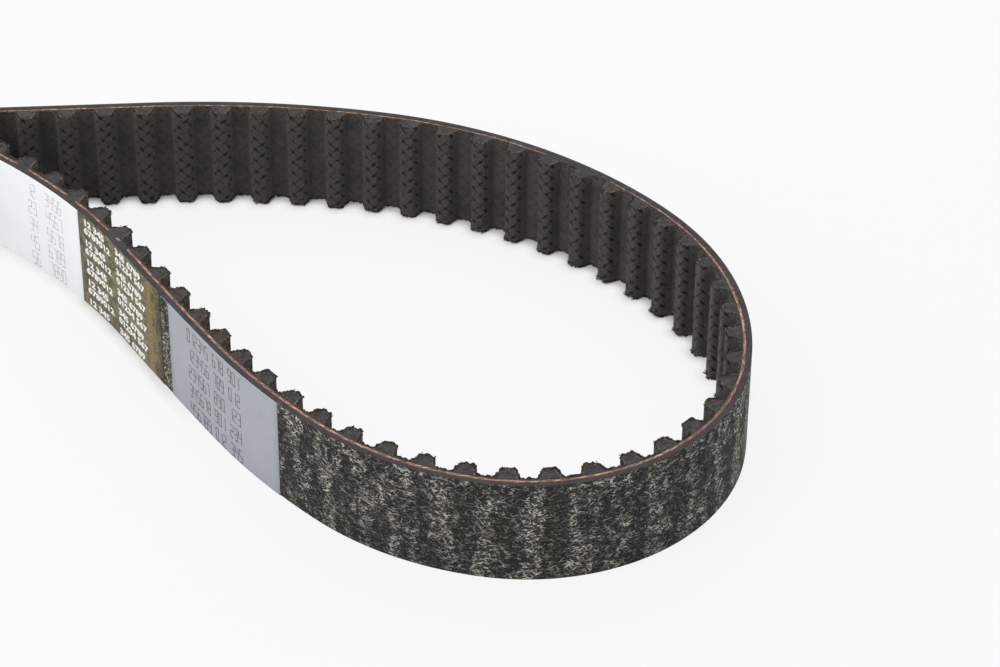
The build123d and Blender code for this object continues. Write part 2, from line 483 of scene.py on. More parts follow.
# %% Braid seams
braid_half = 0.75 * mm
braid_rise = 2.7 * mm
facing_weave, tree, shader = finish("facing_weave", 0.8, gloss=0.2, sheen=0.1)
point = object_point(tree)
run, height = coordinates(tree, curled(tree, belt_point(tree), 1.3 * mm, 0.5 * mm))[:2]
turn_count = maths(tree, "ADD", maths(tree, "DIVIDE", run, unit_length), 0.5)
from_tooth = maths(tree, "SUBTRACT", maths(tree, "FRACT", turn_count), 0.5)
from_tooth = maths(tree, "MULTIPLY", from_tooth, unit_length)
on_tooth = fade(tree, maths(tree, "ABSOLUTE", from_tooth), 3.0 * mm, 2.2 * mm)
slanted = maths(tree, "DIVIDE", maths(tree, "ADD", from_tooth, braid_half), 4 * braid_half)
risen = maths(tree, "DIVIDE", height, braid_rise)


def seam_distance(way):
    """How far up or down the nearest seam of one slant is."""
    wound = maths(tree, "PINGPONG", maths(tree, way, risen, slanted), 0.5)
    return maths(tree, "MULTIPLY", wound, braid_rise)


rising = seam_distance("SUBTRACT")
falling = seam_distance("ADD")
nearest_seam = maths(tree, "MINIMUM", rising, falling)
seam = maths(tree, "MULTIPLY", fade(tree, nearest_seam, 0.24 * mm, 0.04 * mm), on_tooth)
seam = maths(tree, "MULTIPLY", seam, fade(tree, noise(tree, point, 1.3 * mm), 0.40, 0.54))
yarn = maths(tree, "MULTIPLY", fade(tree, nearest_seam, 0.0, 0.55 * mm), on_tooth)

# %% [markdown]
# ## Facing fabric: slits and strands
# A dark slit opens where two seams cross, long in the direction of the yarn on top. That is the one
# yarn in the odd columns and the other in the even ones. Between two seams a yarn shows its two
# strands. The stretch is uneven, so a noise closes some of the slits.

# %% Slits and strands
strand_width = 0.27 * mm
slit_width = 0.58 * mm
slit_length = 1.75 * mm
column = maths(tree, "FLOOR", maths(tree, "DIVIDE", from_tooth, 2 * braid_half))
odd = maths(tree, "PINGPONG", column, 1.0)
across = maths(tree, "MULTIPLY_ADD", maths(tree, "SUBTRACT", falling, rising), odd, rising)
onward = maths(tree, "SUBTRACT", maths(tree, "ADD", rising, falling), across)
slit = maths(tree, "DIVIDE", onward, slit_length)
slit = maths(tree, "ADD", maths(tree, "DIVIDE", across, slit_width), slit)
opened = fade(tree, noise(tree, point, 2.0 * mm, detail=1.0), 0.32, 0.50)
opened = maths(tree, "MULTIPLY", opened, maths(tree, "MULTIPLY_ADD", on_tooth, 0.72, 0.28))
slit = maths(tree, "MULTIPLY", fade(tree, slit, 1.0, 0.62), opened)
strands = maths(tree, "PINGPONG", across, strand_width)
strands = maths(tree, "MULTIPLY", strands, 1 / strand_width)

# %% [markdown]
# ## Facing fabric: colour and relief
# Fluff on the fabric is a fine noise, a little paler than the yarn. Near the two cuts undyed tan
# yarn shows in flecks. The relief is built from the same patterns as the colour, so that each dark
# seam and slit is also a hollow.

# %% Facing fabric
felt = noise(tree, point, 0.25 * mm, detail=4.0, roughness=0.7)
cloud = fade(tree, noise(tree, point, 4.0 * mm, detail=3.0), 0.35, 0.65)
land_tone = blend_colours(tree, cloud, (0.044, 0.041, 0.041), (0.064, 0.058, 0.057))
yarn_tone = blend_colours(tree, strands, (0.034, 0.031, 0.029), (0.068, 0.061, 0.055))
tone = blend_colours(tree, on_tooth, land_tone, yarn_tone)
tone = blend_colours(tree, fade(tree, felt, 0.54, 0.70), tone, (0.125, 0.113, 0.097))
tone = blend_colours(tree, maths(tree, "MULTIPLY", seam, 0.70), tone, (0.014, 0.013, 0.013))
near_cut = fade(tree, maths(tree, "PINGPONG", height, belt_width / 2), 2.4 * mm, 0.1 * mm)
fleck = fade(tree, noise(tree, point, 0.34 * mm, detail=3.0), 0.52, 0.62)
fleck = maths(tree, "MULTIPLY", maths(tree, "MULTIPLY", near_cut, fleck), 0.6)
tone = blend_colours(tree, fleck, tone, (0.15, 0.12, 0.078))
colour_it(tree, shader, blend_colours(tree, slit, tone, (0.003, 0.003, 0.004)))
relief = maths(tree, "MULTIPLY_ADD", yarn, 0.20, maths(tree, "MULTIPLY", felt, 0.40))
relief = maths(tree, "MULTIPLY_ADD", maths(tree, "MULTIPLY", strands, on_tooth), 0.18, relief)
relief = maths(tree, "SUBTRACT", relief, maths(tree, "MULTIPLY", seam, 0.22))
bump_it(tree, shader, maths(tree, "SUBTRACT", relief, slit), 0.28 * mm)

# %% [markdown]
# ## Cut edge of the facing
# Where the knife goes through the facing, its dark dip crumbles and undyed yarn ends show as tan
# flecks. The thread nearest the rubber stays whole and draws a thin tan line round each tooth. It
# gets a finish of its own, because the flecks are many and short and the line is long and even.

# %% Cut facing
cut_facing, tree, shader = finish("cut_facing", 0.85, gloss=0.15)
point = object_point(tree)
tuft = noise(tree, point, 0.34 * mm, detail=3.0, roughness=0.65)
cloud = fade(tree, noise(tree, point, 2.2 * mm), 0.38, 0.58)
tan = blend_colours(tree, cloud, (0.060, 0.050, 0.036), (0.185, 0.142, 0.085))
shown = fade(tree, tuft, 0.52, 0.62)
colour_it(tree, shader, blend_colours(tree, shown, (0.022, 0.020, 0.019), tan))
bump_it(tree, shader, tuft, 0.2 * mm)

edge_thread, tree, shader = finish("edge_thread", 0.8, gloss=0.2)
point = object_point(tree)
tuft = noise(tree, point, 0.5 * mm, detail=3.0)
cloud = fade(tree, noise(tree, point, 3.0 * mm), 0.40, 0.62)
thread = blend_colours(tree, cloud, (0.075, 0.065, 0.048), (0.165, 0.138, 0.098))
shown = fade(tree, tuft, 0.40, 0.54)
colour_it(tree, shader, blend_colours(tree, shown, (0.040, 0.037, 0.033), thread))
bump_it(tree, shader, tuft, 0.1 * mm)

# %% [markdown]
# ## End of a tooth
# The rubber inside a tooth is torn more than cut, so its end is darker and rougher than the edge of
# the backing. It is made like the cut rubber, with coarser noises and a deeper bump.

# %% Tooth end
tooth_end, tree, shader = finish("tooth_end", 0.75, gloss=0.2)
point = object_point(tree)
cloud = fade(tree, noise(tree, point, 1.2 * mm, detail=4.0, roughness=0.6), 0.34, 0.66)
grain = noise(tree, point, 0.3 * mm, detail=4.0, roughness=0.7)
slate = blend_colours(tree, cloud, (0.028, 0.027, 0.028), (0.060, 0.057, 0.058))
speck = fade(tree, grain, 0.58, 0.67)
colour_it(tree, shader, blend_colours(tree, speck, slate, (0.145, 0.118, 0.080)))
bump_it(tree, shader, grain, 0.16 * mm)

# %% [markdown]
# ## Treated cord
# Glass cord is dipped red-brown before it is twisted. Cut along, it shows paler glass in long thin
# streaks, a little aslant because of the twist. Towards both sides the slice runs out into the dip
# and the rubber, so its rim is ragged and dark. Single glass threads are far too fine to model, so
# a combed noise draws the streaks. How far a place is from the cord's middle is read from V, which
# is the height plus the depth and therefore folds over at the belt's two cuts.

# %% Treated cord
treated_cord, tree, shader = finish("treated_cord", 0.5, gloss=0.35)
point = object_point(tree)
streak = combed(tree, belt_point(tree), 9, 1.5 * mm, 0.26 * mm)
cloud = fade(tree, noise(tree, point, 4.0 * mm, detail=3.0), 0.35, 0.65)
dip = blend_colours(tree, cloud, (0.085, 0.030, 0.017), (0.15, 0.060, 0.036))
glass = blend_colours(tree, cloud, (0.30, 0.135, 0.080), (0.52, 0.30, 0.195))
core = blend_colours(tree, fade(tree, streak, 0.47, 0.56), dip, glass)
height = coordinates(tree, belt_point(tree))[1]
from_middle = maths(tree, "PINGPONG", height, belt_width / 2)
ragged = noise(tree, point, 0.45 * mm, detail=3.0)
ragged = maths(tree, "MULTIPLY_ADD", ragged, 0.40 * mm, from_middle)
rim = fade(tree, ragged, 0.36 * mm, 0.52 * mm)
colour_it(tree, shader, blend_colours(tree, rim, core, (0.072, 0.034, 0.022)))
bump_it(tree, shader, streak, 0.08 * mm)

# %% [markdown]
# ## Plain films
# The bands are thin films, pressed on hot. The white and the silver-grey one are smooth, with a
# faint cloud in their tone and a few specks of dirt. They differ in their numbers alone, so one
# function makes both.

# %% Plain films
def plain_film(name, roughness, gloss, cloud_size, tones, speck_size, speck_from, speck_tone):
    """A smooth film with a faint cloud between two tones, and a few specks."""
    material, tree, shader = finish(name, roughness, gloss=gloss)
    point = object_point(tree)
    cloud = noise(tree, point, cloud_size, detail=5.0, roughness=0.6)
    speck = fade(tree, noise(tree, point, speck_size), speck_from, 0.78)
    clean = blend_colours(tree, cloud, *tones)
    colour_it(tree, shader, blend_colours(tree, speck, clean, speck_tone))
    bump_it(tree, shader, noise(tree, point, 0.3 * mm, detail=3.0), 0.02 * mm)
    return material


white_tones = ((0.86, 0.875, 0.88), (0.91, 0.925, 0.93))
white_film = plain_film("white_film", 0.55, 0.3, 6.0 * mm, white_tones,
                        0.5 * mm, 0.72, (0.55, 0.56, 0.56))
silver_tones = ((0.31, 0.325, 0.36), (0.39, 0.405, 0.44))
grey_film = plain_film("grey_film", 0.5, 0.4, 5.0 * mm, silver_tones,
                       0.45 * mm, 0.73, (0.12, 0.12, 0.14))

# %% [markdown]
# ## Worn gold film
# The olive-gold film is rubbed through in specks, most of all at its worn end, where an ochre
# streak and ochre flecks show. The wear has to stay at its place on the belt, so it is read from
# the distance along the belt, and a noise makes its borders wander.

# %% Worn gold film
streak_middle = 381.2 * mm
gold_film, tree, shader = finish("gold_film", 0.55, gloss=0.3)
point = object_point(tree)
cloud = noise(tree, point, 2.0 * mm, detail=5.0, roughness=0.7)
wear = noise(tree, point, 0.35 * mm, detail=3.0, roughness=0.7)
distance = coordinates(tree, belt_point(tree))[0]
waved = maths(tree, "MULTIPLY_ADD", cloud, 4.0 * mm, distance)
from_streak = maths(tree, "ABSOLUTE", maths(tree, "SUBTRACT", waved, streak_middle))
worn_side = fade(tree, from_streak, 1.7 * mm, 0.5 * mm)
flecks = fade(tree, noise(tree, point, 0.7 * mm, detail=3.0), 0.50, 0.62)
flecks = maths(tree, "MULTIPLY", flecks, fade(tree, waved, 404.0 * mm, 386.0 * mm))
worn_side = maths(tree, "MAXIMUM", worn_side, maths(tree, "MULTIPLY", flecks, 0.8))
dull = fade(tree, cloud, 0.38, 0.66)
olive = blend_colours(tree, dull, (0.060, 0.054, 0.034), (0.26, 0.225, 0.115))
ochre = blend_colours(tree, fade(tree, wear, 0.42, 0.6), (0.12, 0.082, 0.028), (0.42, 0.30, 0.09))
gold = blend_colours(tree, worn_side, olive, ochre)
rubbed = maths(tree, "MULTIPLY_ADD", fade(tree, waved, 382.0 * mm, 378.0 * mm), 0.11, wear)
rubbed = fade(tree, rubbed, 0.57, 0.66)
colour_it(tree, shader, blend_colours(tree, rubbed, gold, (0.025, 0.025, 0.022)))
bump_it(tree, shader, wear, 0.04 * mm)

# %% [markdown]
# ## Inks
# The figures are stamped on the films in thin ink, which rubs off in spots as the belt is handled.
# A noise blends the fresh colour with a worn one.

# %% Inks
def ink(name, colour, worn_colour):
    """An ink that has rubbed thin in spots."""
    material, tree, shader = finish(name, 0.6, gloss=0.2)
    worn = noise(tree, object_point(tree), 0.5 * mm, detail=3.0)
    colour_it(tree, shader, blend_colours(tree, fade(tree, worn, 0.52, 0.72), colour, worn_colour))
    bump_it(tree, shader, worn, 0.01 * mm)
    return material


pale_ink = ink("pale_ink", (0.17, 0.17, 0.18), (0.36, 0.36, 0.37))
dark_ink = ink("dark_ink", (0.070, 0.068, 0.080), (0.15, 0.15, 0.17))
white_ink = ink("white_ink", (0.88, 0.88, 0.85), (0.66, 0.66, 0.60))

# %% [markdown]
# ## Sweeping a section
# The backing, the ply and the films all have one rectangular section along the belt. An edge
# loop is drawn once and pushed along in short steps by a spin without a turn, so that it bends
# smoothly later. A strip that goes all the way round has no ends, because they merge in the wrap.

# %% Sweeping
def swept(start, end, inner, outer, bottom, top, edge_round, step=2.0 * mm):
    """A flat bmesh with a rounded rectangular section, from start to end along the belt."""
    mesh = bmesh.new()
    corners = [(inner, bottom), (outer, bottom), (outer, top), (inner, top)]
    face = mesh.faces.new([mesh.verts.new((start, *corner)) for corner in corners])
    bmesh.ops.bevel(mesh, geom=face.verts[:], offset=edge_round, segments=2, profile=0.5,
                    affect="VERTICES", material=-1)
    bmesh.ops.delete(mesh, geom=mesh.faces[:], context="FACES_ONLY")
    first_loop = mesh.edges[:]
    steps = math.ceil((end - start) / step)
    made = bmesh.ops.spin(mesh, geom=mesh.verts[:] + first_loop, angle=0.0, steps=steps,
                          axis=(0, 0, 1), cent=(0, 0, 0), dvec=((end - start) / steps, 0, 0))
    for item in made["geom_last"]:
        if isinstance(item, bmesh.types.BMVert):
            item.co.x = end
    if end - start < belt_length:
        last_loop = [item for item in made["geom_last"] if isinstance(item, bmesh.types.BMEdge)]
        bmesh.ops.edgeloop_fill(mesh, edges=first_loop)
        bmesh.ops.edgeloop_fill(mesh, edges=last_loop)
    return mesh

# %% [markdown]
# ## Backing
# The backing is the outer rubber. The knife leaves its two long edges crisp, and only the back
# is ground. It is one piece with two finishes: the faces that look up and down are cut rubber.

# %% Backing
mesh = swept(0, belt_length, half_cord, back_face, 0, belt_width, 0.08 * mm)
mesh.normal_update()
for face in mesh.faces:
    face.material_index = 0 if abs(face.normal.z) > 0.5 else 1
finish_piece("belt_backing", mesh, [cut_rubber, back_rubber], ["backing_rubber"])

# %% [markdown]
# ## Cord ply
# The cords lie in a thin layer of bonding rubber, cut a hair lower than the backing. The knife
# comes out at the lower edge, and there it tears little notches into the ply and the facing. They
# could be cut out one by one, but moving the edge's points up by a noise gives them all at once.
# Both layers read the same noise over the floor, so that a notch goes through the two of them.

# %% Cord ply
deepest_notch = 0.85 * mm
ply_inset = 0.05 * mm


def torn_up(vert):
    """How far the lower edge is torn up at that place."""
    spot = Vector((vert.co.x, vert.co.y, 0))
    rough = 0.30 + 1.2 * lumps.noise(spot / (0.9 * mm)) + 0.5 * lumps.noise(spot / (0.4 * mm))
    return Vector((0, 0, min(max(rough, 0.0), 1.0) * deepest_notch))


def torn_ply(vert):
    """Tears the ply at its lower edge and leaves the rest of it alone."""
    return torn_up(vert) if vert.co.z < 0.2 * mm else Vector((0, 0, 0))


mesh = swept(0, belt_length, -half_cord, half_cord, ply_inset, belt_width - ply_inset,
             0.03 * mm, step=0.5 * mm)
finish_piece("bonding_ply", mesh, [cut_rubber], ["cord_ply"], relief=torn_ply)

# %% [markdown]
# ## Cords laid open by the knife
# A cord is wound as a long screw, so it comes up to the cut edge very slowly, is sliced along, and
# leaves again. S and Z cords lie side by side, so the one follows the other round the belt. The
# buried turns never show, so only the slice is made, as a shallow strip in the cut. It is widest
# a third of the way along and it wanders a little with the twist. In a few places the knife has
# smeared rubber over it, so there it dips out of sight.

# %% Open cords
slice_top = belt_width - 0.02 * mm
slice_bottom = belt_width - 0.30 * mm
smears = (14.0, 392.5, 397.0, 412.5, 428.0, 436.5, 760.0)
cord_changes = (("upper", 147.0 * mm), ("lower", 330.0 * mm))
cord_change_gap = 16.0 * mm
cord_run = belt_length / 2 - cord_change_gap


def open_cord(name, start, end, replaced_node, upper):
    """A sliced cord between two distances, in the upper or the lower cut."""
    mesh = swept(start, end, -0.5 * mm, 0.5 * mm, slice_bottom, slice_top, 0.12 * mm, step=0.6 * mm)
    for vert in mesh.verts:
        share = (vert.co.x - start) / (end - start)
        arch = math.sin(math.pi * min(max(share, 0.0), 1.0) ** 0.576) ** 3
        spot = Vector((vert.co.x, 0.2 if upper else 0.7, start))
        width = 0.32 + 0.64 * arch + 0.14 * lumps.noise(spot / (3.0 * mm))
        width += 0.10 * lumps.noise(spot / (0.9 * mm))
        wander = 0.09 * lumps.noise(spot / (7.0 * mm)) + 0.03 * lumps.noise(spot / (2.0 * mm))
        vert.co.y = vert.co.y * width + wander * mm
        from_smear = min(abs(vert.co.x / mm - smear) for smear in smears)
        vert.co.z -= 0.10 * mm * min(max(1.9 - from_smear, 0.0), 1.0)
    if not upper:
        bmesh.ops.scale(mesh, verts=mesh.verts[:], vec=(1, 1, -1))
        bmesh.ops.translate(mesh, verts=mesh.verts[:], vec=(0, 0, belt_width))
    finish_piece(name, mesh, [treated_cord], [replaced_node])


for edge_name, change in cord_changes:
    for twist, shift in (("s", 0.0), ("z", belt_length / 2)):
        start = change + cord_change_gap / 2 + shift
        open_cord(f"{twist}_cord_{edge_name}", start, start + cord_run, f"{twist}_cord_runs",
                  edge_name == "upper")
print("each open cord is", round(cord_run / mm), "mm long")

# %% [markdown]
# ## Repeating a tooth
# A mould repeats one pitch exactly, so one unit is drawn and copied along the flat belt. An Array
# modifier would copy it too, but it can't count the distance along the fabric on for the weave.

# %% Repeating
def repeat_teeth(mesh, along=None):
    """Copies the unit in the mesh to every tooth, and counts its distance along the fabric on."""
    unit = mesh.verts[:] + mesh.edges[:] + mesh.faces[:]
    for index in range(1, tooth_count):
        copied = bmesh.ops.duplicate(mesh, geom=unit)["geom"]
        verts = [item for item in copied if isinstance(item, bmesh.types.BMVert)]
        bmesh.ops.translate(mesh, verts=verts, vec=(index * tooth_pitch, 0, 0))
        if along:
            for vert in verts:
                vert[along] += index * unit_length
    bmesh.ops.translate(mesh, verts=mesh.verts[:], vec=(first_tooth, 0, 0))

# %% [markdown]
# ## Tooth rubber
# Under the facing each tooth is solid rubber. Only its two cut ends show, so a plain prism with
# rounded tip corners is enough. It is raised from its lower face, which starts a little above the
# torn edge.

# %% Tooth cores
core_bottom = 0.2 * mm
core_height = belt_width - 0.24 * mm
mesh = bmesh.new()
corners = [(-core_base, -half_cord), (-core_tip_half, core_tip)]
corners += [(-x, y) for x, y in corners[::-1]]
face = mesh.faces.new([mesh.verts.new((x, y, core_bottom)) for x, y in corners])
tips = [vert for vert in mesh.verts if vert.co.y < -1 * mm]
bmesh.ops.bevel(mesh, geom=tips, offset=0.3 * mm, segments=3, profile=0.5,
                affect="VERTICES", material=-1)
raised = bmesh.ops.extrude_face_region(mesh, geom=mesh.faces[:])["geom"]
raised = [item for item in raised if isinstance(item, bmesh.types.BMVert)]
bmesh.ops.translate(mesh, verts=raised, vec=(0, 0, core_height))
repeat_teeth(mesh)
finish_piece("tooth_rubber_cores", mesh, [tooth_end], ["tooth_cores"], smooth=False)

# %% [markdown]
# ## Facing
# The two outlines are bridged into a strip, and the strip is raised to the belt's width. Only its
# outer wall is divided into rows, and they lie closest near the two cuts, where the fabric frays.
# Each point keeps its distance along the fabric in a layer, for the weave. The cut rim is split
# into a thread line next to the rubber and a frayed part, which stands proud and leans out.

# %% Facing
facing_rows = 12
mesh = bmesh.new()
along = mesh.verts.layers.float.new("along")
outside = mesh.verts.layers.int.new("outside")
draw_outline(mesh, outer_outline, 0.35 * mm, 0.6 * mm)
for vert in mesh.verts:
    vert[outside] = 1
draw_outline(mesh, inner_outline, 0.2 * mm, 0.4 * mm)
bmesh.ops.bridge_loops(mesh, edges=mesh.edges[:])
rungs = [edge for edge in mesh.edges if edge.verts[0][outside] != edge.verts[1][outside]]
bmesh.ops.subdivide_edges(mesh, edges=rungs, cuts=2)
raised = bmesh.ops.extrude_face_region(mesh, geom=mesh.faces[:])["geom"]
raised = [item for item in raised if isinstance(item, bmesh.types.BMVert)]
bmesh.ops.translate(mesh, verts=raised, vec=(0, 0, belt_width))
ends = [face for face in mesh.faces
        if all(abs(abs(vert.co.x) - land_half) < 1e-7 for vert in face.verts)]
bmesh.ops.delete(mesh, geom=ends, context="FACES")
upright = [edge for edge in mesh.edges if edge.calc_length() > 0.9 * belt_width
           and all(vert[outside] == 1 for vert in edge.verts)]
bmesh.ops.subdivide_edges(mesh, edges=upright, cuts=facing_rows - 1, use_grid_fill=True)
mesh.normal_update()
for face in mesh.faces:
    flat = abs(face.normal.z) > 0.5
    touches_rubber = flat and all(vert[outside] == 0 for vert in face.verts)
    face.material_index = 0 if not flat else 2 if touches_rubber else 1
for vert in mesh.verts:
    vert[along] = developed(vert.co.x, vert.co.y)
    share = vert.co.z / belt_width
    vert.co.z = belt_width * share * share * (3 - 2 * share)
print("one pitch of facing has", len(mesh.faces), "faces")
repeat_teeth(mesh, along)

# %% [markdown]
# ## Frayed rim of the facing
# Yarns differ in thickness, so the wall is uneven, and at the cut nothing holds their ends, so the
# rim opens up. Above, the ends stand proud and lean out. Below, they are torn up along with the
# ply. A noise along the wall moves the points once the facing is bent round the loop, because only
# then do the normals point the right way.

# %% Frayed rim
rim_rise = 0.36 * mm
rim_lean_upper = 0.22 * mm
rim_lean_lower = 0.30 * mm


def frayed(vert):
    """Uneven yarns push the wall in and out, and the cut rim leans out and stands proud."""
    upper = vert.co.z > belt_width / 2
    on_rim = (belt_width - vert.co.z if upper else vert.co.z) < 0.01 * mm
    if not vert[outside]:
        return torn_up(vert) if on_rim and not upper else Vector((0, 0, 0))
    push = vert.normal * lumps.noise(vert.co / (0.9 * mm)) * 0.06 * mm
    if on_rim:
        loosened = 0.45 + 1.0 * lumps.noise(vert.co / (0.6 * mm))
        loosened += 0.4 * lumps.noise(vert.co / (0.25 * mm))
        loosened = min(max(loosened, 0.0), 1.0)
        sideways = Vector((vert.normal.x, vert.normal.y, 0)).normalized()
        push += sideways * loosened * (rim_lean_upper if upper else rim_lean_lower)
        push.z = loosened * rim_rise if upper else torn_up(vert).z
    return push


finish_piece("facing_fabric_cover", mesh, [facing_weave, cut_facing, edge_thread],
             ["facing_fabric"], relief=frayed)

# %% [markdown]
# ## Crumbs of facing
# Along the two cuts the facing breaks up into little tufts. Hair particles could make them, but at
# this size a rough low ball, squashed and turned at random, looks the same and stays light. Five
# teeth are scattered with them, because the eye can't follow a repeat of five. The upper and the
# lower crumbs are two pieces, to keep each of them small.

# %% Crumbs
random.seed(7)
scattered_teeth = 5
crumb_sizes = (0.10, 0.13, 0.17, 0.22)


def outline_place(run):
    """The flat place on the facing's outer face, so far along the fabric from a tooth's middle."""
    side = math.copysign(1, run)
    run = abs(run)
    if run < tip_half:
        return side * run, tip_face
    share = (run - tip_half) / flank_length
    if share < 1:
        return side * (tip_half + share * (base_half - tip_half)), tip_face + share * tooth_height
    return side * (base_half + run - tip_half - flank_length), land_face


crumbs = {"upper": bmesh.new(), "lower": bmesh.new()}
for tooth in range(scattered_teeth):
    for cut, cut_height, count in (("upper", belt_width, 38), ("lower", 0, 58)):
        for index in range(count):
            run = random.uniform(-0.5, 0.5) * unit_length
            on_land = abs(run) > tip_half + flank_length
            x, y = outline_place(run)
            size = random.choice(crumb_sizes) * mm
            if cut == "upper":
                rise = random.uniform(-0.35, 0.22) * mm
                inwards = random.uniform(-0.12, 0.05 if on_land else 0.35) * mm
            else:
                rise = random.uniform(0.22, 0.5) * mm
                inwards = -random.uniform(-0.1, 0.45) * mm
            spot = Vector((first_tooth + tooth * tooth_pitch + x, y + inwards, cut_height + rise))
            turned = Matrix.Rotation(random.uniform(0, math.tau), 4, random.choice("XYZ"))
            flatter, lower = random.uniform(0.5, 1.0), random.uniform(0.4, 0.9)
            squash = Matrix.Diagonal((size, size * flatter, size * lower, 1))
            bmesh.ops.create_icosphere(crumbs[cut], subdivisions=1, radius=1.0,
                                       matrix=Matrix.Translation(spot) @ turned @ squash)
print(sum(len(mesh.faces) for mesh in crumbs.values()), "faces of crumbs on five teeth")

# %% [markdown]
# ## Crumbs round the belt
# The five teeth's crumbs are copied round, as the teeth were. They get the cut facing's finish,
# since they are bits of it.

# %% Crumbs round the belt
for cut, mesh in crumbs.items():
    scattered = mesh.verts[:] + mesh.edges[:] + mesh.faces[:]
    for index in range(1, tooth_count // scattered_teeth):
        copied = bmesh.ops.duplicate(mesh, geom=scattered)["geom"]
        verts = [item for item in copied if isinstance(item, bmesh.types.BMVert)]
        bmesh.ops.translate(mesh, verts=verts, vec=(index * scattered_teeth * tooth_pitch, 0, 0))
    finish_piece(f"{cut}_facing_crumbs", mesh, [cut_facing])

# %% [markdown]
# ## Printed bands
# Three films lie on the back across its whole width. They could be painted on the back by its
# material, but a real film has a thickness that catches the light at its ends, so each is a thin
# strip of its own. Their edges are square and stay a hair inside the cuts.

# %% Bands
film = 0.1 * mm
film_edge = 0.01 * mm
bands = [
    ("grey_band", 333.0 * mm, 371.0 * mm, grey_film, "grey_print", "grey_label"),
    ("gold_band", 374.5 * mm, 408.0 * mm, gold_film, "gold_print", "gold_print_band"),
    ("white_band", 408.0 * mm, 440.0 * mm, white_film, "white_print", "white_label"),
]
for name, start, end, material, slot, replaced in bands:
    mesh = swept(start, end, back_face, back_face + film, film_edge, belt_width - film_edge,
                 film_edge)
    finish_piece(name, mesh, [material], [replaced])

# %% [markdown]
# ## Plain numbers on the bands
# A belt is printed in rows of small figures, so the bands get rows of plain running numbers. The
# machine draws two of the bands with straight strokes, like the figures of a pocket calculator:
# on the white film each stroke is a row of dots, on the grey one it is a fine line. A font has no
# such figures, so each stroke is a little block, and a table says which strokes a figure has.

# %% Stroke figures
ink_face = back_face + film + 0.02 * mm
ink_depth = 0.05 * mm
strokes_of = {"0": "abcdef", "1": "bc", "2": "abged", "3": "abgcd", "4": "fgbc", "5": "afgcd",
              "6": "afgedc", "7": "abc", "8": "abcdefg", "9": "abcdfg"}
stroke_ends = {"a": (0, 2, 1, 2), "b": (1, 1, 1, 2), "c": (1, 0, 1, 1), "d": (0, 0, 1, 0),
               "e": (0, 0, 0, 1), "f": (0, 1, 0, 2), "g": (0, 1, 1, 1)}


def add_stroke_figures(mesh, text, start, height, pitch, width, tall, stroke, dots):
    """Adds a row of stroke figures to a flat bmesh, from start towards smaller distances."""
    reach = 1.0 if dots == 1 else 0.62 / dots
    for index, character in enumerate(text):
        for name in strokes_of.get(character, ""):
            from_u, from_v, to_u, to_v = stroke_ends[name]
            block = (max(abs(to_u - from_u) * width * reach, stroke), ink_depth,
                     max(abs(to_v - from_v) * tall / 2 * reach, stroke), 1)
            for dot in range(dots):
                share = (dot + 0.5) / dots
                u = index * pitch + (from_u + (to_u - from_u) * share) * width
                v = (from_v + (to_v - from_v) * share) * tall / 2
                place = Matrix.Translation((start - u, ink_face - ink_depth / 2, height + v))
                bmesh.ops.create_cube(mesh, size=1.0, matrix=place @ Matrix.Diagonal(block))

# %% [markdown]
# ## Figures on the white and the grey band
# Both bands carry five rows across the belt's width, and each row says another number. The figures
# are cheap blocks, which may overlap where two strokes meet, because one ink covers them all.

# %% White and grey bands' figures
white_rows = (17.3, 13.05, 8.8, 4.55, 0.4)
dotted = {"pitch": 1.42 * mm, "width": 1.0 * mm, "tall": 3.1 * mm, "stroke": 0.14 * mm, "dots": 3}
mesh = bmesh.new()
for row, height in enumerate(white_rows):
    text = f"{row + 1}{row + 2}  {row + 3}{row + 4}{row + 5}{(row + 6) % 10}"
    add_stroke_figures(mesh, text, 425.2 * mm, height * mm, **dotted)
finish_piece("white_band_figures", mesh, [pale_ink], smooth=False)

grey_rows = (17.9, 13.5, 9.1, 4.7, 0.3)
lined = {"pitch": 1.38 * mm, "width": 0.9 * mm, "tall": 2.9 * mm, "stroke": 0.15 * mm, "dots": 1}
mesh = bmesh.new()
for row, height in enumerate(grey_rows):
    digits = "".join(str((row + n) % 10) for n in range(12))
    text = f"{digits[:6]} {digits[6:9]} {digits[9:]}"
    add_stroke_figures(mesh, text, 363.5 * mm, height * mm, **lined)
finish_piece("grey_band_figures", mesh, [dark_ink], smooth=False)

# %% [markdown]
# ## Heavy figures
# The gold band carries heavy figures in two columns, with two lines to a row. Here Blender's own
# font will do, made thicker by the curve's offset and wider by a scale. The text is made a mesh
# first, turned to face outwards, and wrapped like everything else.

# %% Heavy figures
def add_text_figures(mesh, text, size, start, height, wider, heavier):
    """Adds a row of widened text figures to a flat bmesh, from start towards smaller distances."""
    curve = bpy.data.curves.new("figures", "FONT")
    curve.body = text
    curve.size = size
    curve.offset = heavier
    curve.extrude = ink_depth / 2
    curve.resolution_u = 2
    row = bpy.data.objects.new("figures", curve)
    data = bpy.data.meshes.new_from_object(row)
    upright = Matrix.Rotation(math.radians(90), 4, "X")
    facing_out = Matrix.Rotation(math.radians(180), 4, "Z")
    place = Matrix.Translation((start, ink_face - ink_depth / 2, height))
    data.transform(place @ facing_out @ upright @ Matrix.Diagonal((wider, 1, 1, 1)))
    mesh.from_mesh(data)
    bpy.data.objects.remove(row)
    bpy.data.curves.remove(curve)
    bpy.data.meshes.remove(data)


gold_rows = (19.9, 15.05, 10.2, 5.35, 0.5)
gold_columns = ((406.0 * mm, ("12 345", "6789012")), (393.6 * mm, ("345 6789", "01234 567")))
line_height = 2.05
mesh = bmesh.new()
for height in gold_rows:
    for line in (0, 1):
        lowered = height - line_height * line
        if lowered < 0:
            continue
        for start, lines in gold_columns:
            add_text_figures(mesh, lines[line], line_height * mm, start, lowered * mm,
                             wider=1.42, heavier=0.09 * mm)
finish_piece("gold_band_figures", mesh, [white_ink], smooth=False)

